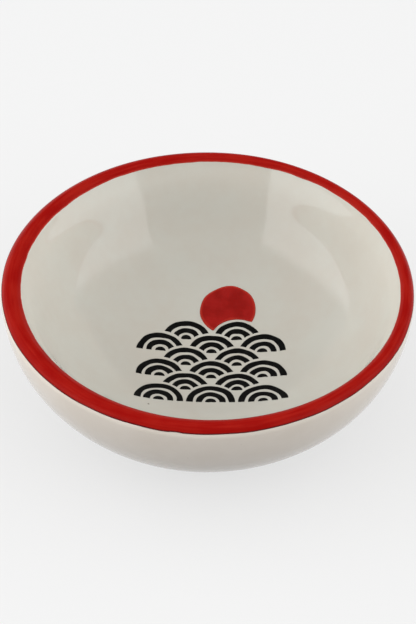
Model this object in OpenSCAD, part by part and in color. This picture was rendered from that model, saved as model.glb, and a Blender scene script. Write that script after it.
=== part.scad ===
// Small round sauce dish of thrown earthenware with a foot ring, glazed cream inside and out, with a red
// painted band over its full round lip and a black and red wave and sun motif painted in its well.
// The origin is the centre of the foot's rest face, +Z points up, and lengths are in millimetres.

/* [Dish] */
// Outside diameter at the lip
dish_d = 90; // [76:1:110]
// Height from the table to the top of the painted lip
dish_h = 32; // [28:0.5:42]
// Thickness of the glazed wall at the lip, which is its full half round
wall_t = 4.6; // [3.4:0.1:5.4]
// Angle by which the outside still leans outwards at the lip, in degrees
rim_lean = 2.8; // [0:0.2:8]
// Height above the table of the lowest point of the curved outside
belly_z = 1.6; // [0.8:0.1:2.4]
// Angle by which the inside leans outwards below the lip, in degrees
slope_lean = 26; // [20:0.5:30]
// Radius of the long curve of the inside below the lip
slope_r = 300; // [200:10:500]
// Radius of the curve by which that slope turns into the floor of the well
turn_r = 28; // [22:0.5:30]
// Height of the middle of the well's floor above the table
floor_z = 5.8; // [4.8:0.1:8]
// Radius of the shallow round floor of the well
well_r = 110; // [90:5:200]

/* [Foot] */
// Outside diameter of the foot ring
foot_d = 42; // [34:1:50]
// Width of the foot ring
foot_w = 3.6; // [2.6:0.1:5]
// Depth of the hollow under the dish, inside the foot ring
foot_recess = 1.3; // [0.9:0.1:1.7]
// Radius of the rounded edges of the foot ring's rest face
foot_edge_r = 0.4; // [0.1:0.05:0.5]
// Height of bare clay between those rounded edges and the glaze
foot_bare = 0.2; // [0.05:0.05:0.3]

/* [Glaze and rim band] */
// Thickness of each coat of glaze
glaze_t = 0.35; // [0.2:0.05:0.6]
// Thickness of the red paint on the lip
band_t = 0.15; // [0.1:0.05:0.3]
// Height of the band's outer edge above the middle of the lip
band_rise = 1.05; // [0.2:0.05:1.6]
// Distance from the middle of the lip in to the band's inner edge
band_in = 1.25; // [0.4:0.05:1.6]
// How far the hand-painted inner edge sits off centre
band_shift = 0.75; // [0:0.05:1]
// Direction in which it sits off centre, in degrees from +X
band_shift_deg = -20; // [-180:5:180]

/* [Waves and sun] */
// Outside radius of one wave
wave_r = 5.4; // [4.6:0.1:5.8]
// Width of one black brush stroke of a wave
stroke_w = 1.4; // [1:0.1:1.8]
// Width of the bare line between strokes and between waves
line_w = 0.7; // [0.4:0.05:1]
// Distance from one row of waves to the next
wave_rise = 4; // [3:0.1:4.6]
// Distance from the middle of the well to the waves' straight base, towards the front
base_y = 12.5; // [10:0.5:14]
// Thickness of the black paint
wave_t = 0.15; // [0.1:0.05:0.3]
// Radius of the red sun
sun_r = 6.5; // [5:0.1:7]
// Distance from the middle of the well to the sun's centre, towards the right
sun_x = 3.6; // [-6:0.2:6]
// Distance from the middle of the well to the sun's centre, towards the back
sun_y = 16; // [15:0.2:17]
// Thickness of the raised red paint
sun_t = 0.35; // [0.2:0.05:0.5]

/* [Hidden] */
$fn = 180;
// Number of waves in each row, from the back row to the front row
WAVE_COUNTS = [2, 3, 2, 3, 2, 3];
WAVES = [for (row = [0 : len(WAVE_COUNTS) - 1]) for (col = [0 : WAVE_COUNTS[row] - 1]) [row, col]];

// The lip is a half circle about lip_c, and the outside is a ring about side_c. The inside has three curves
// that run into each other without a corner: the slope about slope_c as far as slope_a, the turn about
// turn_c as far as well_a, and the well's floor about well_c, which lies on the axis.
lip_r = wall_t / 2;
lip_c = [dish_d / 2 - lip_r, dish_h - band_t - lip_r];
side_r = (lip_c.y - belly_z - lip_r * sin(rim_lean)) / (1 - sin(rim_lean));
side_c = lip_c - (side_r - lip_r) * [cos(rim_lean), -sin(rim_lean)];
slope_c = lip_c - (slope_r + lip_r) * [cos(slope_lean), -sin(slope_lean)];
well_c = [0, floor_z + well_r];
turn_c = lower_meeting(slope_c, slope_r - turn_r, well_c, well_r - turn_r);
slope_a = atan2(turn_c.y - slope_c.y, turn_c.x - slope_c.x);
well_a = atan2(turn_c.y - well_c.y, turn_c.x - well_c.x);

foot_r = foot_d / 2;
foot_in_r = foot_r - foot_w;
glaze_z = foot_edge_r + foot_bare;
band_in_r = lip_c.x - band_in;
wave_pitch = 2 * wave_r + line_w;
stroke_pitch = stroke_w + line_w;
// Farthest that a straight step of a section strays from its curve
chord_gap = 0.01;

function wave_name(i) = str("wave_", i + 1);

// Centre of a wave as seen from above
function wave_at(row, col) = [
    (col - (WAVE_COUNTS[row] - 1) / 2) * wave_pitch,
    (len(WAVE_COUNTS) - 1 - row) * wave_rise - base_y
];

// Points along an arc, ends included
function arc(centre, radius, from, to) =
    let (steps = ceil(abs(to - from) / (2 * acos(1 - chord_gap / radius))))
    [for (i = [0 : steps])
        let (angle = from + (to - from) * i / steps)
        centre + radius * [cos(angle), sin(angle)]];

function after_first(points) = [for (i = [1 : len(points) - 1]) points[i]];
function reversed(points) = [for (i = [len(points) - 1 : -1 : 0]) points[i]];

// Where a circle about a first centre meets one about a second centre to its right, on their lower side
function lower_meeting(first, first_r, second, second_r) =
    let (gap = norm(second - first))
    let (way = (second - first) / gap)
    let (along = (pow(first_r, 2) - pow(second_r, 2) + pow(gap, 2)) / (2 * gap))
    first + along * way + sqrt(pow(first_r, 2) - pow(along, 2)) * [way.y, -way.x];

// Section of the inside's slope, from the turn up to the lip, at a depth below the glazed surface
function slope_line(depth) = arc(slope_c, slope_r + depth, slope_a, -slope_lean);

// Section of the whole inside from the axis to the lip
function inside_line(depth) = concat(
    arc(well_c, well_r + depth, -90, well_a),
    after_first(arc(turn_c, turn_r + depth, well_a, slope_a)),
    after_first(slope_line(depth))
);

// Section of the outside from the side's end at the lip to the top of the foot ring
function outside_line(depth) =
    let (reach = foot_r - depth - side_c.x)
    concat(
        arc(side_c, side_r - depth, -rim_lean, -acos(max(reach, 0) / (side_r - depth))),
        reach < 0 ? [[foot_r - depth, belly_z + depth]] : []
    );

// Section of the lip from its inner side to the top, and from the top to an angle on its outer side
function inner_lip(depth) = arc(lip_c, lip_r - depth, 180 - slope_lean, 90);
function outer_lip(depth, to) = arc(lip_c, lip_r - depth, 90, to);

// Solid of revolution between two lines of a section
module turned(line, back_line) {
    rotate_extrude() polygon(concat(line, reversed(back_line)));
}

// The bare clay is what the glaze coats leave. Its foot has rounded edges.
module clay_body() {
    foot_out = foot_r - glaze_t;
    foot_in = foot_in_r + glaze_t;
    under = foot_recess + glaze_t;
    color([0.86, 0.80, 0.71]) rotate_extrude() polygon(concat(
        inside_line(glaze_t),
        after_first(inner_lip(glaze_t)),
        after_first(outer_lip(glaze_t, -rim_lean)),
        after_first(outside_line(glaze_t)),
        arc([foot_out - foot_edge_r, foot_edge_r], foot_edge_r, 0, -90),
        arc([foot_in + foot_edge_r, foot_edge_r], foot_edge_r, -90, -180),
        [[foot_in, under], [0, under]]
    ));
}

module inner_glaze() {
    function line(depth) = concat(inside_line(depth), after_first(inner_lip(depth)));
    color([0.89, 0.87, 0.82]) turned(line(0), line(glaze_t));
}

module outer_glaze() {
    function line(depth) = concat(
        outer_lip(depth, -rim_lean),
        after_first(outside_line(depth)),
        [[foot_r - depth, glaze_z]]
    );
    color([0.90, 0.87, 0.83]) turned(line(0), line(glaze_t));
}

module foot_glaze() {
    function line(depth) = [
        [0, foot_recess + depth],
        [foot_in_r + depth, foot_recess + depth],
        [foot_in_r + depth, glaze_z]
    ];
    color([0.88, 0.86, 0.81]) turned(line(0), line(glaze_t));
}

// The band runs over the lip from its outer side to an inner edge that was painted a little off centre
module rim_band() {
    function line(depth) = concat(
        slope_line(depth),
        after_first(inner_lip(depth)),
        after_first(outer_lip(depth, asin(band_rise / lip_r)))
    );
    color([0.65, 0.10, 0.09]) difference() {
        turned(line(0), line(-band_t));
        rotate(band_shift_deg) translate([band_shift, 0]) cylinder(h = dish_h + wall_t, r = band_in_r);
    }
}

// Paint on the well, cut to an outline drawn as seen from above
module paint(thickness) {
    intersection() {
        turned(inside_line(0), inside_line(-thickness));
        linear_extrude(dish_h) children();
    }
}

// What two rows of waves cover, from a given row on, with the bare line round them
module wave_cover(first) {
    for (w = WAVES) if (w[0] == first || w[0] == first + 1) {
        translate(wave_at(w[0], w[1])) circle(wave_r + line_w);
    }
}

// Half rings of one wave, the innermost of them a half disc
module strokes() {
    intersection() {
        for (outer = [wave_r : -stroke_pitch : line_w / 2]) difference() {
            circle(outer);
            if (outer > stroke_w) circle(outer - stroke_w);
        }
        translate([-wave_pitch, 0]) square([2 * wave_pitch, wave_pitch]);
    }
}

module wave(row, col) {
    color([0.07, 0.07, 0.07]) paint(wave_t) difference() {
        translate(wave_at(row, col)) strokes();
        wave_cover(row + 1);
    }
}

module sun_disc() {
    color([0.57, 0.08, 0.05]) paint(sun_t) difference() {
        translate([sun_x, sun_y]) circle(sun_r);
        wave_cover(0);
    }
}

clay_body();
inner_glaze();
outer_glaze();
foot_glaze();
rim_band();
sun_disc();
for (i = [0 : len(WAVES) - 1]) wave(WAVES[i][0], WAVES[i][1]);
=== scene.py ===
from math import acos, asin, atan2, cos, hypot, pi, radians, sin, sqrt

import bmesh
import bpy
from mathutils import Matrix, Vector, noise

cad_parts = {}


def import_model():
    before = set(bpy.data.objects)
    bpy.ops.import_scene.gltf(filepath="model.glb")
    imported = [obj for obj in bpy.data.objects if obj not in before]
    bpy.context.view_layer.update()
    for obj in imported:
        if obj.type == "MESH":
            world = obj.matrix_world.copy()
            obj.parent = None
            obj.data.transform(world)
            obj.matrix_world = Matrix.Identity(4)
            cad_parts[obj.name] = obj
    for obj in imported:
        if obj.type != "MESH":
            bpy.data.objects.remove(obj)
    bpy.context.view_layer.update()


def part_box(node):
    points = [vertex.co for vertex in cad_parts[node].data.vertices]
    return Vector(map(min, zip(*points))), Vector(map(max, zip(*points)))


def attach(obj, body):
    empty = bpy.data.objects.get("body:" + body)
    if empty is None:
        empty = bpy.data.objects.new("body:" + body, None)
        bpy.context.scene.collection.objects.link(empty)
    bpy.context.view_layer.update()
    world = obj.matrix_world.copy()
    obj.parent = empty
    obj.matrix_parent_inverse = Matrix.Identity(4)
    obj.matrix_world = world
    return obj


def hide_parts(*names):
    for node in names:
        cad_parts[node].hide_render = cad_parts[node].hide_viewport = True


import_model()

# A small glazed earthenware sauce dish with a red painted lip and a wave and sun motif in its well.
# Lengths are in metres. The dish has the sizes of the solids in the frame, with thinner films of paint, and
# the unevenness that a potter's and a painter's hand leave comes on top.

MM = 0.001

# Section of the dish
WALL = 4.6 * MM
LEAN = radians(2.8)
BELLY_Z = 1.6 * MM
SLOPE_LEAN = radians(26)
SLOPE_R = 300 * MM
TURN_R = 28 * MM
FLOOR_Z = 5.8 * MM
WELL_R = 110 * MM
GLAZE = 0.35 * MM
FOOT_R = 21 * MM
FOOT_EDGE_R = 0.4 * MM
# Where the glaze pools on the foot: how far the fillet reaches up the side and down the foot
FOOT_FILLET = 1.3 * MM
FOOT_FILLET_DROP = 0.91 * MM
DISH_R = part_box("outer_glaze")[1].x
LIP_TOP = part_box("outer_glaze")[1].z
GLAZE_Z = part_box("outer_glaze")[0].z
FOOT_IN_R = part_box("foot_glaze")[1].x - GLAZE
FOOT_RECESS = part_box("foot_glaze")[1].z - GLAZE

LIP_R = WALL / 2
LIP_C = Vector((DISH_R - LIP_R, LIP_TOP - LIP_R))
SIDE_R = (LIP_C.y - BELLY_Z - LIP_R * sin(LEAN)) / (1 - sin(LEAN))
SIDE_C = LIP_C - (SIDE_R - LIP_R) * Vector((cos(LEAN), -sin(LEAN)))
SLOPE_C = LIP_C - (SLOPE_R + LIP_R) * Vector((cos(SLOPE_LEAN), -sin(SLOPE_LEAN)))
WELL_C = Vector((0, FLOOR_Z + WELL_R))


def lower_meeting(first, first_r, second, second_r):
    """Where a circle about a first centre meets one about a second to its right, on their lower side."""
    gap = (second - first).length
    way = (second - first) / gap
    along = (first_r ** 2 - second_r ** 2 + gap ** 2) / (2 * gap)
    return first + along * way + sqrt(first_r ** 2 - along ** 2) * Vector((way.y, -way.x))


TURN_C = lower_meeting(SLOPE_C, SLOPE_R - TURN_R, WELL_C, WELL_R - TURN_R)
SLOPE_A = atan2(TURN_C.y - SLOPE_C.y, TURN_C.x - SLOPE_C.x)
WELL_A = atan2(TURN_C.y - WELL_C.y, TURN_C.x - WELL_C.x)
WELL_EDGE_R = WELL_R * cos(WELL_A)

# Band over the lip: how far above the lip's middle its outer edge lies, and where on the lip's round its
# inner edge lies, as an angle from level outwards
BAND_RISE = 1.05 * MM
BAND_IN_A = radians(143)
BAND_T = 0.13 * MM

# Waves and sun
WAVE_COUNTS = (2, 3, 2, 3, 2, 3)
WAVE_R = 5.4 * MM
STROKE_W = 1.4 * MM
LINE_W = 0.7 * MM
WAVE_RISE = 4 * MM
BASE_Y = 12.5 * MM
WAVE_T = 0.1 * MM
SUN_R = 6.5 * MM
SUN_C = Vector((3.6 * MM, 16 * MM))
SUN_T = 0.34 * MM
# How deep a film of paint reaches into the glaze that it was fired on
BITE = 0.05 * MM

# Steps of a full turn, how often the first stretch of it is doubled, and the distance that counts as none
STEPS = 256
DOUBLINGS = 5
MERGE = 0.0001 * MM


def mix(a, b, share):
    return a + (b - a) * share


def ramp(value, start, end):
    """A soft step from 0 at start to 1 at end."""
    share = min(max((value - start) / (end - start), 0), 1)
    return share * share * (3 - 2 * share)


def arc(centre, radius, start, end, steps):
    angles = [mix(start, end, i / steps) for i in range(steps + 1)]
    return [centre + radius * Vector((cos(a), sin(a))) for a in angles]


def inside_line(depth):
    """The inside from the axis to the lip, at a depth below the glazed surface."""
    floor = arc(WELL_C, WELL_R + depth, -pi / 2, WELL_A, 20)
    turn = arc(TURN_C, TURN_R + depth, WELL_A, SLOPE_A, 36)
    slope = arc(SLOPE_C, SLOPE_R + depth, SLOPE_A, -SLOPE_LEAN, 16)
    return floor + turn[1:] + slope[1:]


def inner_lip(depth):
    return arc(LIP_C, LIP_R - depth, pi - SLOPE_LEAN, pi / 2, 16)


def outer_lip(depth):
    return arc(LIP_C, LIP_R - depth, pi / 2, -LEAN, 16)


def outside_line(depth):
    """The side from the lip down to the foot ring, with a soft fillet where the glaze pools on the foot."""
    foot_r = FOOT_R - depth
    side_r = SIDE_R - depth
    foot_a = -acos((foot_r - SIDE_C.x) / side_r)
    corner = SIDE_C + side_r * Vector((cos(foot_a), sin(foot_a)))
    turn = FOOT_FILLET / side_r
    side = arc(SIDE_C, side_r, -LEAN, foot_a + turn, 54)
    start, end = side[-1], corner - Vector((0, FOOT_FILLET_DROP))
    steps = 8
    shares = [i / steps for i in range(1, steps + 1)]
    return side + [mix(mix(start, corner, share), mix(corner, end, share), share) for share in shares]


def on_well(x, y):
    """The point of the glazed inside above x, y and the way that the surface faces there."""
    r = hypot(x, y)
    if r < WELL_EDGE_R:
        centre, radius = WELL_C, WELL_R
    else:
        centre, radius = TURN_C, TURN_R
    z = centre.y - sqrt(radius ** 2 - (r - centre.x) ** 2)
    inwards = (centre.x - r) / radius
    spoke = Vector((x, y, 0)) / r if r > MERGE else Vector((1, 0, 0))
    facing = spoke * inwards
    facing.z = (centre.y - z) / radius
    return Vector((x, y, z)), facing


def crowded(share):
    """Moves the steps of a grid closer together near 0 and 1, where a film of paint rounds off."""
    return (1 - cos(pi * share)) / 2


def bead(gap, width):
    """Share of its full thickness that paint has at a gap from its edge, rounding off over a width."""
    return sqrt(1 - (1 - min(gap / width, 1)) ** 2)


# The potter's hand: the whole form sways a little, in wide waves with small ones on them, and more freely
# above the foot
HAND_WAVE = 30 * MM
HAND_DEPTH = 0.13 * MM
SMALL_WAVES = 3
SMALL_DEPTH = 0.16
FIRM_Z = 1 * MM
FREE_Z = 9 * MM
# Which waves they are, so that they are the same each time
HAND_SEED = 2
noise.seed_set(HAND_SEED)
# The inside is a little wider than the ideal one, and off centre
WIDER = 0.5 * MM
OFF_CENTRE = 0.78 * MM
OFF_CENTRE_A = radians(15)
INSIDE_TOP = LIP_C.y + LIP_R * sin(SLOPE_LEAN)
# Depths below its top between which it narrows, and by how much, where less than 0 widens it again
NARROWINGS = ((0, 4 * MM, 0.19 * MM), (3.2 * MM, 9.8 * MM, -0.22 * MM), (13 * MM, 18 * MM, 0.4 * MM))
# Its bend to one side below its top, which goes on as far as the turn and is partly lost again at the well
BEND = 0.053
BEND_A = radians(-16)
BEND_START = 3 * MM
BEND_END = 16 * MM
BEND_BACK = 0.5 * MM
BEND_BACK_END = 24 * MM


def off_centre(point):
    """How far the inside's form moves a point from its ideal place. The outside stays."""
    drop = max(SIDE_C.y - point.z, 0)
    outside_r = SIDE_C.x + sqrt(max(SIDE_R ** 2 - drop ** 2, 0))
    depth = min(max((outside_r - hypot(point.x, point.y)) / WALL, 0), 1)
    below = max(INSIDE_TOP - point.z, 0)
    narrower = sum(ramp(below, start, end) * by for start, end, by in NARROWINGS)
    away = Vector((point.x, point.y, 0)) * ((WIDER - narrower) / DISH_R)
    away += Vector((cos(OFF_CENTRE_A), sin(OFF_CENTRE_A), 0)) * OFF_CENTRE
    bend = BEND * min(below, BEND_END) * ramp(below, 0, BEND_START)
    bend -= BEND_BACK * ramp(below, BEND_END, BEND_BACK_END)
    away += Vector((cos(BEND_A), sin(BEND_A), 0)) * bend
    return away * depth * ramp(point.z, FOOT_RECESS + GLAZE, FLOOR_Z - GLAZE)


def thrown(point):
    """A point of the ideal form, moved as the potter's hand left it. The foot stays flat on the table."""
    elsewhere = Vector((7, 3, 5))
    sway = noise.noise_vector(point / HAND_WAVE) * HAND_DEPTH
    sway += noise.noise_vector(point / HAND_WAVE * SMALL_WAVES + elsewhere) * HAND_DEPTH * SMALL_DEPTH
    return point + off_centre(point) + sway * ramp(point.z, FIRM_Z, FREE_Z)


def new_piece(name, bm, node, finish):
    """Turns a bmesh into a smooth piece that stands for a solid of the frame."""
    for v in bm.verts:
        v.co = thrown(v.co)
    for face in bm.faces:
        face.smooth = True
    mesh = bpy.data.meshes.new(name)
    bm.to_mesh(mesh)
    bm.free()
    piece = bpy.data.objects.new(name, mesh)
    bpy.context.scene.collection.objects.link(piece)
    mesh.materials.append(finish)
    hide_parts(node)
    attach(piece, "root")


def joined(bm, points, closed):
    """Vertices through points of the section, with edges between them."""
    verts = [bm.verts.new((p.x, 0, p.y)) for p in points]
    ends = verts[1:] + verts[:1] if closed else verts[1:]
    edges = [bm.edges.new(pair) for pair in zip(verts, ends)]
    return verts, edges


def turn_round(bm, geom, steps):
    """Spins a section through a short stretch, which is then doubled until it goes all the way round."""
    angle = 2 * pi / 2 ** DOUBLINGS
    bmesh.ops.spin(
        bm, geom=geom, cent=(0, 0, 0), axis=(0, 0, 1), angle=angle, steps=steps // 2 ** DOUBLINGS
    )
    for doubling in range(DOUBLINGS):
        copy = bmesh.ops.duplicate(bm, geom=bm.verts[:] + bm.edges[:] + bm.faces[:])["geom"]
        verts = [v for v in copy if isinstance(v, bmesh.types.BMVert)]
        onwards = Matrix.Rotation(angle * 2 ** doubling, 3, "Z")
        bmesh.ops.rotate(bm, verts=verts, cent=(0, 0, 0), matrix=onwards)
    bmesh.ops.remove_doubles(bm, verts=bm.verts, dist=MERGE)
    bmesh.ops.recalc_face_normals(bm, faces=bm.faces)


def spun(outline, closed):
    """A full turn of an outline. An open outline starts and ends on the axis."""
    bm = bmesh.new()
    verts, edges = joined(bm, outline, closed)
    turn_round(bm, verts + edges, STEPS)
    return bm


# Shader maths

class Value:
    """A socket of a node web, with the arithmetic that the patterns use."""

    def __init__(self, web, socket):
        self.web = web
        self.socket = socket

    def maths(self, operation, first, second=0.0):
        return self.web.node("Math", {"operation": operation}, {0: first, 1: second})

    def __add__(self, other):
        return self.maths("ADD", self, other)

    def __sub__(self, other):
        return self.maths("SUBTRACT", self, other)

    def __rsub__(self, other):
        return self.maths("SUBTRACT", other, self)

    def __mul__(self, other):
        return self.maths("MULTIPLY", self, other)

    def __abs__(self):
        return self.maths("ABSOLUTE", self)

    __radd__ = __add__
    __rmul__ = __mul__

    def step(self, start, end):
        """A soft step from 0 at start to 1 at end."""
        return self.web.node("MapRange", {"interpolation_type": "SMOOTHSTEP"}, {0: self, 1: start, 2: end})


class Web:
    """The nodes of a material or of the studio's world, and the one way in which they are added."""

    def __init__(self, owner):
        owner.use_nodes = True
        self.tree = owner.node_tree

    def feed(self, socket, value):
        if isinstance(value, Value):
            self.tree.links.new(value.socket, socket)
        else:
            socket.default_value = value

    def node(self, kind, settings=None, inputs=None, output=0):
        made = self.tree.nodes.new("ShaderNode" + kind)
        for key, value in (settings or {}).items():
            setattr(made, key, value)
        for key, value in (inputs or {}).items():
            self.feed(made.inputs[key], value)
        return Value(self, made.outputs[output])

    def part(self, vector, axis):
        return self.node("SeparateXYZ", {}, {0: vector}, axis)


class Finish(Web):
    """The material of a surface."""

    def __init__(self, name, **constants):
        self.material = bpy.data.materials.new(name)
        super().__init__(self.material)
        self.shader = self.tree.nodes["Principled BSDF"]
        for socket, value in constants.items():
            self.shader.inputs[socket.replace("_", " ")].default_value = value
        self.place = self.node("TexCoord", output="Object")

    def set(self, socket, value):
        self.feed(self.shader.inputs[socket], value)

    def blend(self, share, first, second):
        """One colour turning into another."""
        colours = {0: share, 6: first, 7: second}
        return self.node("Mix", {"data_type": "RGBA"}, colours, 2)

    def noise(self, size, detail=2.0, where=None):
        """Cloudy noise about 0.5, whose patches are about as wide as size."""
        spot = {"Vector": where or self.place, "Scale": 1 / size, "Detail": detail}
        return self.node("TexNoise", {}, spot)

    def attribute(self, name):
        return self.node("Attribute", {"attribute_name": name}, output="Fac")

    def bump(self, height, distance):
        inputs = {"Height": height, "Distance": distance, "Strength": 1.0}
        self.set("Normal", self.node("Bump", {}, inputs))


def rgb(r, g, b):
    return (r, g, b, 1.0)


def cream_glaze(name, warm, cool):
    """Opaque glossy glaze: clouds of warmer and cooler cream, rare dark pinholes, a faint ripple."""
    finish = Finish(name, IOR=1.6)
    clouds = finish.noise(14 * MM, 4)
    grain = finish.noise(2.2 * MM, 3)
    colour = finish.blend((clouds * 0.75 + grain * 0.25).step(0.32, 0.68), warm, cool)
    spots = {"Vector": finish.place, "Scale": 1 / (9 * MM), "Randomness": 1.0}
    cell = finish.node("TexVoronoi", {}, spots, "Distance")
    chance = finish.node("SeparateColor", {}, {0: finish.node("TexVoronoi", {}, spots, "Color")}, 0)
    pinholes = (1 - cell.step(0.018, 0.034)) * chance.step(0.45, 0.47)
    clay = rgb(0.12, 0.09, 0.07)
    finish.set("Base Color", finish.blend(pinholes * 0.75, colour, clay))
    finish.set("Roughness", clouds * 0.04 + 0.03)
    ripple = finish.noise(7 * MM, 1) * 0.6 + finish.noise(0.8 * MM, 2) * 0.04
    finish.bump(ripple - pinholes * 0.5, 0.025 * MM)
    return finish.material


def bare_clay():
    """Matt fired clay of the ground foot, with a sandy grain."""
    finish = Finish("bare clay")
    grain = finish.noise(0.5 * MM, 6)
    clouds = finish.noise(9 * MM, 2)
    share = grain * 0.5 + clouds * 0.5
    sandy = finish.blend(share.step(0.3, 0.7), rgb(0.56, 0.46, 0.35), rgb(0.72, 0.61, 0.48))
    finish.set("Base Color", sandy)
    finish.set("Roughness", grain * 0.2 + 0.72)
    finish.bump(grain, 0.08 * MM)
    return finish.material


def red_band():
    """Brushed red: streaks along the lip, a thin inner edge, and a dark line of painted shade along the
    outer edge.
    """
    finish = Finish("red band", Specular_IOR_Level=0.05)
    across = finish.attribute("across")
    streak_length = 9 * MM
    streaks_across = 9
    x = finish.part(finish.place, "X") * (1 / streak_length)
    y = finish.part(finish.place, "Y") * (1 / streak_length)
    spot = finish.node("CombineXYZ", {}, {"X": x, "Y": y, "Z": across * streaks_across})
    around = finish.noise(1, 3, spot)
    clouds = finish.noise(6 * MM, 3)
    brushed = (around * 0.6 + clouds * 0.4).step(0.35, 0.66)
    red = finish.blend(brushed, rgb(0.252, 0.003, 0.002), rgb(0.302, 0.009, 0.005))
    thin = 1 - across.step(0.0, 0.09)
    thin_red = rgb(0.47, 0.05, 0.035)
    red = finish.blend(thin * 0.8, red, thin_red)
    # Painted shade: a dark, rougher line along the band's outer edge.
    painted_edge_shade = across.step(0.91, 0.97)
    edge_shade_red = rgb(0.055, 0.005, 0.008)
    finish.set("Base Color", finish.blend(painted_edge_shade * 0.9, red, edge_shade_red))
    finish.set("Roughness", around * 0.12 + painted_edge_shade * 0.35 + 0.16)
    finish.bump(around * 0.7 + clouds * 0.3, 0.03 * MM)
    return finish.material


def red_paint():
    """Thick raised red: deep in the middle, brighter at its edge, partly where the paint thins and partly as
    a painted highlight along its raised rim.
    """
    finish = Finish("red paint", Specular_IOR_Level=0.35)
    edge = finish.attribute("edge")
    clouds = finish.noise(3 * MM, 3)
    red = finish.blend(clouds.step(0.35, 0.65), rgb(0.26, 0.004, 0.002), rgb(0.32, 0.006, 0.004))
    # Brighter towards the edge: partly thinner paint, partly a painted highlight on the raised rim.
    thin = 1 - edge.step(0.1 * MM, 0.75 * MM)
    thin_rim_and_highlight_red = rgb(0.48, 0.025, 0.012)
    finish.set("Base Color", finish.blend(thin * 0.7, red, thin_rim_and_highlight_red))
    finish.set("Roughness", clouds * 0.1 + 0.14)
    finish.bump(clouds, 0.12 * MM)
    return finish.material


def black_paint():
    """Satin black brush strokes, a little thinner and greyer at their edges."""
    finish = Finish("black paint", Specular_IOR_Level=0.08)
    edge = finish.attribute("edge")
    clouds = finish.noise(1.6 * MM, 4)
    thin = (1 - edge.step(0.0, 0.16 * MM)) * 0.5 + clouds.step(0.5, 0.8) * 0.35
    black, grey = rgb(0.004, 0.004, 0.004), rgb(0.022, 0.020, 0.018)
    finish.set("Base Color", finish.blend(thin, black, grey))
    finish.set("Roughness", clouds * 0.2 + 0.34)
    finish.bump(clouds, 0.05 * MM)
    return finish.material


# Body and glaze

def clay_body():
    """The fired clay, seen only at the foot, whose rest face was ground flat and its edges rubbed round."""
    foot_out = FOOT_R - GLAZE
    foot_in = FOOT_IN_R + GLAZE
    edge = FOOT_EDGE_R
    under = FOOT_RECESS + GLAZE
    outline = inside_line(GLAZE) + inner_lip(GLAZE)[1:] + outer_lip(GLAZE)[1:] + outside_line(GLAZE)[1:]
    outline += arc(Vector((foot_out - edge, edge)), edge, 0, -pi / 2, 6)
    outline += arc(Vector((foot_in + edge, edge)), edge, -pi / 2, -pi, 6)
    outline += [Vector((foot_in, under)), Vector((0, under))]
    new_piece("clay_body", spun(outline, False), "clay_body", bare_clay())


def inner_glaze(finish):
    """The coat poured inside, as far as the top of the lip."""
    top = inside_line(0) + inner_lip(0)[1:]
    back = inside_line(GLAZE) + inner_lip(GLAZE)[1:]
    new_piece("inner_glaze", spun(top + back[::-1], False), "inner_glaze", finish)


def outer_glaze(finish):
    """The coat outside, from the top of the lip down to the foot ring's side, where it ends in a round."""
    face = outer_lip(0) + outside_line(0)[1:]
    back = outer_lip(GLAZE) + outside_line(GLAZE)[1:]
    lower = arc(Vector((FOOT_R - GLAZE, GLAZE_Z + GLAZE)), GLAZE, 0, -pi / 2, 6)
    new_piece("outer_glaze", spun(face + lower + back[::-1], True), "outer_glaze", finish)


def foot_glaze(finish):
    """The coat of the hollow underneath, with a soft corner where it pooled against the foot ring."""
    pool = 0.6 * MM
    z = FOOT_RECESS
    corner = arc(Vector((FOOT_IN_R - pool, z - pool)), pool, pi / 2, 0, 8)
    lower = arc(Vector((FOOT_IN_R + GLAZE, GLAZE_Z + GLAZE)), GLAZE, pi, 1.5 * pi, 6)
    back = [Vector((FOOT_IN_R + GLAZE, z + GLAZE)), Vector((0, z + GLAZE))]
    steps = 12
    ceiling = [Vector((mix(0, corner[0].x, i / steps), z)) for i in range(steps)]
    outline = ceiling + corner + lower + back
    new_piece("foot_glaze", spun(outline, False), "foot_glaze", finish)


# Rim band

ACROSS_STEPS = 28
# Angles on the lip's round between which it is first laid, near its inner and its outer edge
ROUGH_IN_A = pi * 0.7
ROUGH_OUT_A = pi * 0.15
# The width over which its edges round off, and the share of its thickness that they end with
BAND_EDGE_W = 0.22 * MM
BAND_EDGE_SHARE = 0.08
# How quickly and how far the painter's hand let its inner edge wander, and the same of its outer edge
INNER_WANDERS = ((2, 0.14 * MM), (9, 0.13 * MM), (31, 0.05 * MM))
OUTER_WANDER = (7, 0.1 * MM)
# A small notch in the outer edge at the front
NOTCH_A = radians(-98)
NOTCH_HALF = (radians(0.6), radians(2.2))
NOTCH_DEPTH = 0.12 * MM


def band_edges(turn):
    """Angles on the lip of the band's inner and outer edges, which a hand holding a brush let wander."""
    spot = Vector((cos(turn), sin(turn), 0))
    wander = sum(noise.noise(spot * often) * far for often, far in INNER_WANDERS)
    inner = min(BAND_IN_A + wander / LIP_R, pi - SLOPE_LEAN)
    often, far = OUTER_WANDER
    notch = 1 - ramp(abs(turn - NOTCH_A), *NOTCH_HALF)
    rise = BAND_RISE + noise.noise(spot * often + Vector((0, 0, 4))) * far + notch * NOTCH_DEPTH
    return inner, asin(rise / LIP_R)


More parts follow.
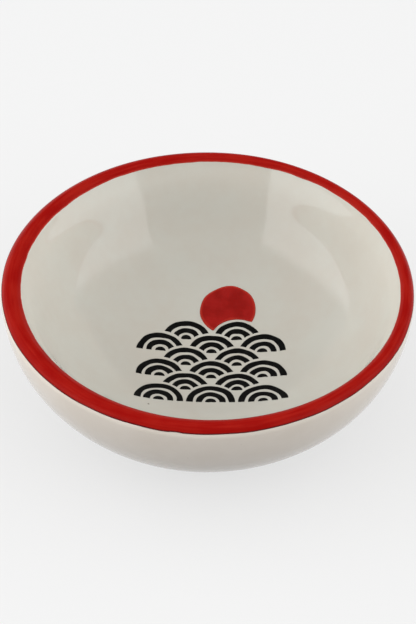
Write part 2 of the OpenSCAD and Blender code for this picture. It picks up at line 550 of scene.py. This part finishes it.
def rim_band():
    """The band, laid over the lip between two even edges and then drawn out to where its edges wander."""
    bm = bmesh.new()
    layer = bm.verts.layers.float.new("across")
    shares = [crowded(i / ACROSS_STEPS) for i in range(ACROSS_STEPS + 1)]
    points = []
    for top, order in ((True, shares), (False, shares[::-1])):
        for share in order:
            gap = min(share, 1 - share) * (ROUGH_IN_A - ROUGH_OUT_A) * LIP_R
            lift = BAND_T * mix(BAND_EDGE_SHARE, 1, bead(gap, BAND_EDGE_W)) if top else -BITE
            angle = mix(ROUGH_IN_A, ROUGH_OUT_A, share)
            points.append(LIP_C + (LIP_R + lift) * Vector((cos(angle), sin(angle))))
    verts, edges = joined(bm, points, True)
    for v, share in zip(verts, shares + shares[::-1]):
        v[layer] = share
    turn_round(bm, verts + edges, 2 * STEPS)
    for v in bm.verts:
        turn = atan2(v.co.y, v.co.x)
        away = Vector((hypot(v.co.x, v.co.y), v.co.z)) - LIP_C
        inner, outer = band_edges(turn)
        angle = mix(inner, outer, v[layer])
        point = LIP_C + away.length * Vector((cos(angle), sin(angle)))
        v.co = Vector((point.x * cos(turn), point.x * sin(turn), point.y))
    new_piece("rim_band", bm, "rim_band", red_band())


# Painted motif

# The share of its thickness that a film of paint ends with at its edge, and how uneven its top is
FILM_EDGE_SHARE = 0.06
FILM_UNEVEN = 0.25
FILM_GRAIN = 2 * MM
# Steps along the longest brush stroke, along the shortest and across each
STROKE_STEPS = 72
LEAST_STEPS = 24
STROKE_ACROSS = 10
# How far a stroke drifts to one side, how much its width changes, how ragged its ends are, and the width
# over which its edges round off
STROKE_DRIFT = 0.17 * MM
STROKE_BREATHE = 0.12 * MM
STROKE_RAGGED = 0.15 * MM
STROKE_EDGE_W = 0.18 * MM
# The sun's steps, round it and out from its centre, how uneven its outline is, and its rounded edge's width
SUN_STEPS = 180
SUN_ACROSS = 36
SUN_UNEVEN = 0.25 * MM
SUN_EDGE_W = 0.7 * MM
# What a wave covers, with the bare line round it
COVER_R = WAVE_R + LINE_W


def lay_film(bm, along, across, place, thickness, edge_w):
    """Adds a film of paint to bm. place gives the plan position of a spot of its grid and its distance from
    the film's edge, where the paint rounds off over the width edge_w."""
    layer = bm.verts.layers.float.get("edge") or bm.verts.layers.float.new("edge")
    made = bmesh.ops.create_grid(bm, x_segments=along, y_segments=across, size=0.5)["verts"]
    for v in made:
        x, y, gap = place(v.co.x + 0.5, v.co.y + 0.5)
        v.co = (x, y, 0)
        v[layer] = gap
    bmesh.ops.remove_doubles(bm, verts=made, dist=MERGE)
    flat = [v for v in made if v.is_valid]
    faces = list(dict.fromkeys(face for v in flat for face in v.link_faces))
    raised = bmesh.ops.extrude_face_region(bm, geom=faces)["geom"]
    tops = [v for v in raised if isinstance(v, bmesh.types.BMVert)]
    for v in flat:
        point, facing = on_well(v.co.x, v.co.y)
        v.co = point - facing * BITE
    for v in tops:
        point, facing = on_well(v.co.x, v.co.y)
        uneven = 1 + FILM_UNEVEN * noise.noise(point / FILM_GRAIN)
        v.co = point + facing * thickness * mix(FILM_EDGE_SHARE, uneven, bead(v[layer], edge_w))


def wave_centre(row, col):
    pitch = 2 * WAVE_R + LINE_W
    middle = (WAVE_COUNTS[row] - 1) / 2
    return Vector(((col - middle) * pitch, (len(WAVE_COUNTS) - 1 - row) * WAVE_RISE - BASE_Y))


def covers(first):
    """Centres of the waves in the two rows from first on, which cover what lies behind them."""
    rows = [row for row in (first, first + 1) if row < len(WAVE_COUNTS)]
    return [wave_centre(row, col) for row in rows for col in range(WAVE_COUNTS[row])]


def open_angles(centre, radius, row):
    """Between which angles a circle about a wave's centre lies above its base and clear of nearer waves."""
    low, high = 0.0, pi
    for other in covers(row + 1):
        away = other - centre
        reach = away.length
        share = (radius ** 2 + reach ** 2 - COVER_R ** 2) / (2 * max(radius, MERGE) * reach)
        if share >= 1:
            continue
        half = acos(max(share, -1))
        towards = atan2(away.y, away.x) % (2 * pi)
        if towards > 1.5 * pi:
            low = max(low, towards - 2 * pi + half)
        else:
            high = min(high, towards - half)
    return low, high


def wave(number, row, col, finish):
    """One wave of brushed arcs. Each arc's edges and ends wander a little, as a brush leaves them."""
    bm = bmesh.new()
    centre = wave_centre(row, col)
    outer = WAVE_R
    while outer > LINE_W / 2:
        inner = max(outer - STROKE_W, 0)

        def place(u, w, inner=inner, outer=outer):
            seed = Vector((number * 1.7, outer / MM, 0))
            drift = noise.noise(seed + Vector((0, 0, u * 5 * outer / WAVE_R))) * STROKE_DRIFT
            breathe = noise.noise(seed + Vector((9, 0, u * 6 * outer / WAVE_R))) * STROKE_BREATHE
            hole = inner - breathe + drift if inner else 0.0
            w = crowded(w)
            radius = mix(hole, outer + breathe + drift, w)
            low, high = open_angles(centre, radius, row)
            ends = STROKE_RAGGED / max(radius, 0.5 * MM)
            low += ends * noise.noise(seed + Vector((3, w, 2)))
            high += ends * noise.noise(seed + Vector((5, w, 8)))
            angle = mix(low, high, u)
            sides = min(w * (outer - hole), (1 - w) * (outer - hole)) if inner else (1 - w) * outer
            gap = min(sides, min(u, 1 - u) * (high - low) * radius)
            return centre.x + radius * cos(angle), centre.y + radius * sin(angle), gap

        along = max(int(STROKE_STEPS * outer / WAVE_R), LEAST_STEPS)
        lay_film(bm, along, STROKE_ACROSS, place, WAVE_T, STROKE_EDGE_W)
        outer -= STROKE_W + LINE_W
    bmesh.ops.recalc_face_normals(bm, faces=bm.faces)
    name = f"wave_{number}"
    new_piece(name, bm, name, finish)


def sun_reach(angle):
    """How far the sun reaches at an angle before its own edge or the first wave."""
    ray = Vector((cos(angle), sin(angle)))
    reach = SUN_R + noise.noise(Vector((ray.x, ray.y, 2)) * 1.6) * SUN_UNEVEN
    for other in covers(0):
        away = other - SUN_C
        along = away.dot(ray)
        rest = along ** 2 - (away.length_squared - COVER_R ** 2)
        if along > 0 and rest > 0:
            reach = min(reach, along - sqrt(rest))
    return reach


def sun_disc():
    """The raised sun, from its centre out to its edge."""
    bm = bmesh.new()

    def place(u, w):
        angle = u * 2 * pi
        reach = sun_reach(angle)
        return SUN_C.x + reach * w * cos(angle), SUN_C.y + reach * w * sin(angle), reach * (1 - w)

    lay_film(bm, SUN_STEPS, SUN_ACROSS, place, SUN_T, SUN_EDGE_W)
    bmesh.ops.recalc_face_normals(bm, faces=bm.faces)
    new_piece("sun_disc", bm, "sun_disc", red_paint())


# Inside and outside are one glaze. The outside copy has lighter, a little warmer colours than the inside
# copy, which is painted light on the outside walls; the foot glaze shares that copy.
inside = cream_glaze("inside glaze", rgb(0.520, 0.488, 0.430), rgb(0.532, 0.520, 0.466))
outside = cream_glaze("outside glaze painted lighter", rgb(0.610, 0.543, 0.472), rgb(0.640, 0.578, 0.512))
clay_body()
inner_glaze(inside)
outer_glaze(outside)
foot_glaze(outside)
rim_band()
sun_disc()
black = black_paint()
places = [(row, col) for row, count in enumerate(WAVE_COUNTS) for col in range(count)]
for number, (row, col) in enumerate(places, 1):
    wave(number, row, col, black)


# Studio

# The picture and its focal length in pixels, and where in it the middle of the band's outer edge lies
FRAME_W = 416
FRAME_H = 624
FOCAL_PX = 2065
AIM_PX = (207.7, 284.2)
SENSOR = 36
CAMERA_UP = radians(42.88)
CAMERA_ROLL = radians(0.94)
CAMERA_FAR = 10 * DISH_R


def camera():
    """Looks down at the dish from the front, rolled a little, with the dish at its place in the picture."""
    aim = Vector((0, 0, LIP_C.y + BAND_RISE))
    back = Vector((0, -cos(CAMERA_UP), sin(CAMERA_UP)))
    right = Vector((1, 0, 0))
    up = back.cross(right)
    turned_right = right * cos(CAMERA_ROLL) + up * sin(CAMERA_ROLL)
    turned_up = up * cos(CAMERA_ROLL) - right * sin(CAMERA_ROLL)
    data = bpy.data.cameras.new("camera")
    data.sensor_width = SENSOR
    data.lens = FOCAL_PX / FRAME_H * SENSOR
    data.shift_x = (FRAME_W / 2 - AIM_PX[0]) / FRAME_H
    data.shift_y = (AIM_PX[1] - FRAME_H / 2) / FRAME_H
    data.clip_start = 0.01
    data.clip_end = 20
    made = bpy.data.objects.new("camera", data)
    made.matrix_world = Matrix.Translation(aim + back * CAMERA_FAR) @ Matrix(
        (turned_right, turned_up, back)
    ).transposed().to_4x4()
    bpy.context.scene.collection.objects.link(made)
    bpy.context.scene.camera = made


# How far a soft panel stands from the dish, where its ends and its lower edge are, and its colour
PANEL_FAR = 0.55
PANEL_IN = 0.05
PANEL_OUT = 0.95
PANEL_LOW = 0.01
PANEL_COLOUR = (0.97, 1.0, 1.0)


def panel(name, side, turned, top, radiance):
    """An upright soft panel beside the dish. side is 1 on the right and -1 on the left. It stands across a
    line that is turned from the camera's side of the table, and reaches from near that line far back. Gloss
    doesn't show it, because the world mirrors softer panels in its place."""
    data = bpy.data.lights.new(name, "AREA")
    data.shape = "RECTANGLE"
    data.size = PANEL_OUT - PANEL_IN
    data.size_y = top - PANEL_LOW
    data.energy = radiance * pi * data.size * data.size_y
    data.color = PANEL_COLOUR
    away = Vector((side * sin(turned), -cos(turned), 0))
    along = Vector((side * cos(turned), sin(turned), 0))
    middle = away * PANEL_FAR + along * (PANEL_IN + PANEL_OUT) / 2
    middle.z = (PANEL_LOW + top) / 2
    made = bpy.data.objects.new(name, data)
    made.visible_glossy = False
    made.matrix_world = Matrix.Translation(middle) @ away.to_track_quat("Z", "Y").to_matrix().to_4x4()
    bpy.context.scene.collection.objects.link(made)


def seen_directly(web):
    """1 for what the camera sees, and 1 for what is seen in gloss or through glass."""
    rays = [web.node("LightPath", output=f"Is {kind} Ray") for kind in ("Camera", "Glossy", "Transmission")]
    return rays[0], rays[1].maths("MAXIMUM", rays[1], rays[2])


def panel_in_gloss(towards, side, turned, start, lean, top):
    """How much of a soft panel a direction meets, for gloss. side and turned are as for panel, and the top
    fades out. start, beside the line, and top are shares of its distance. Its upright end leans away from
    the line."""
    x, y, z = towards
    ahead = x * (side * sin(turned)) - y * cos(turned)
    beside = x * (side * cos(turned)) + y * sin(turned)
    past_end = (beside - ahead * start - z * lean).step(-0.02, 0.03)
    below_top = 1 - (z - ahead * top).step(-0.18, 0.12)
    return past_end * below_top


# The backdrop's tone, and the rest of the room as gloss shows it
BACKGROUND = 0.871
ROOM = 0.1
# Soft light from either side, more of it from the left, from above, and from all round
SIDE_LIGHT = 1.5
LEFT_LIGHT = 0.45
TOP_LIGHT = 0.82
ROUND_LIGHT = 0.16
# How bright the right and the left panel are in gloss
RIGHT_GLOSS = 1.12
LEFT_GLOSS = 1.28


def world():
    """A pale backdrop, and a dim room with two panels that only gloss shows. Surfaces get a softer light,
    from the sides and above."""
    made = bpy.data.worlds.new("studio")
    bpy.context.scene.world = made
    web = Web(made)
    sky = web.tree.nodes["Background"]
    direction = web.node("TexCoord", output="Generated")
    towards = [web.part(direction, axis) for axis in "XYZ"]
    x, y, z = towards
    spread = (0.3, 0.9)
    light = abs(x).step(*spread) * SIDE_LIGHT + (0 - x).step(*spread) * LEFT_LIGHT
    light = light + z.step(*spread) * TOP_LIGHT + ROUND_LIGHT
    room = y.step(0.4, 0.8) * (1 - z.step(0.25, 0.5)) * (BACKGROUND - ROOM) + ROOM
    right = panel_in_gloss(towards, side=1, turned=radians(40), start=0, lean=0.2, top=1.02)
    left = panel_in_gloss(towards, side=-1, turned=radians(48), start=-0.31, lean=0.14, top=1.05)
    room = room + right * RIGHT_GLOSS + left * LEFT_GLOSS
    camera_ray, glossy_ray = seen_directly(web)
    strength = camera_ray * BACKGROUND + glossy_ray * room + (1 - camera_ray - glossy_ray) * light
    web.feed(sky.inputs["Strength"], strength)
    sky.inputs["Color"].default_value = rgb(1, 1, 1)


# The table's size, how little it lies below the foot, its tone, and the light of its own that the camera and
# gloss see
TABLE_SIZE = 1.5
TABLE_DROP = 0.02 * MM
TABLE_TONE = 0.2
TABLE_GLOW = 0.64
# How far from the dish it starts to fade into the backdrop, and where nothing of it is left
FADE_START = 0.25
FADE_END = 0.5


def floor():
    """A pale table top that keeps the dish's shadow."""
    bm = bmesh.new()
    bmesh.ops.create_grid(bm, x_segments=1, y_segments=1, size=TABLE_SIZE)
    bmesh.ops.translate(bm, verts=bm.verts, vec=(0, 0, -TABLE_DROP))
    mesh = bpy.data.meshes.new("floor")
    bm.to_mesh(mesh)
    bm.free()
    made = bpy.data.objects.new("floor", mesh)
    bpy.context.scene.collection.objects.link(made)
    finish = Finish("pale floor", Roughness=0.9, Specular_IOR_Level=0.0)
    finish.set("Base Color", rgb(TABLE_TONE, TABLE_TONE, TABLE_TONE))
    finish.set("Emission Color", rgb(1, 1, 1))
    camera_ray, glossy_ray = seen_directly(finish)
    finish.set("Emission Strength", (camera_ray + glossy_ray) * TABLE_GLOW)
    x, y = (finish.part(finish.place, axis) for axis in "XY")
    finish.set("Alpha", 1 - (x * x + y * y).step(FADE_START ** 2, FADE_END ** 2))
    mesh.materials.append(finish.material)


camera()
world()
floor()
panel("right panel", side=1, turned=radians(33), top=0.64, radiance=1.3)
panel("left panel", side=-1, turned=radians(39), top=0.58, radiance=1.55)
bpy.context.scene.view_settings.view_transform = "Standard"
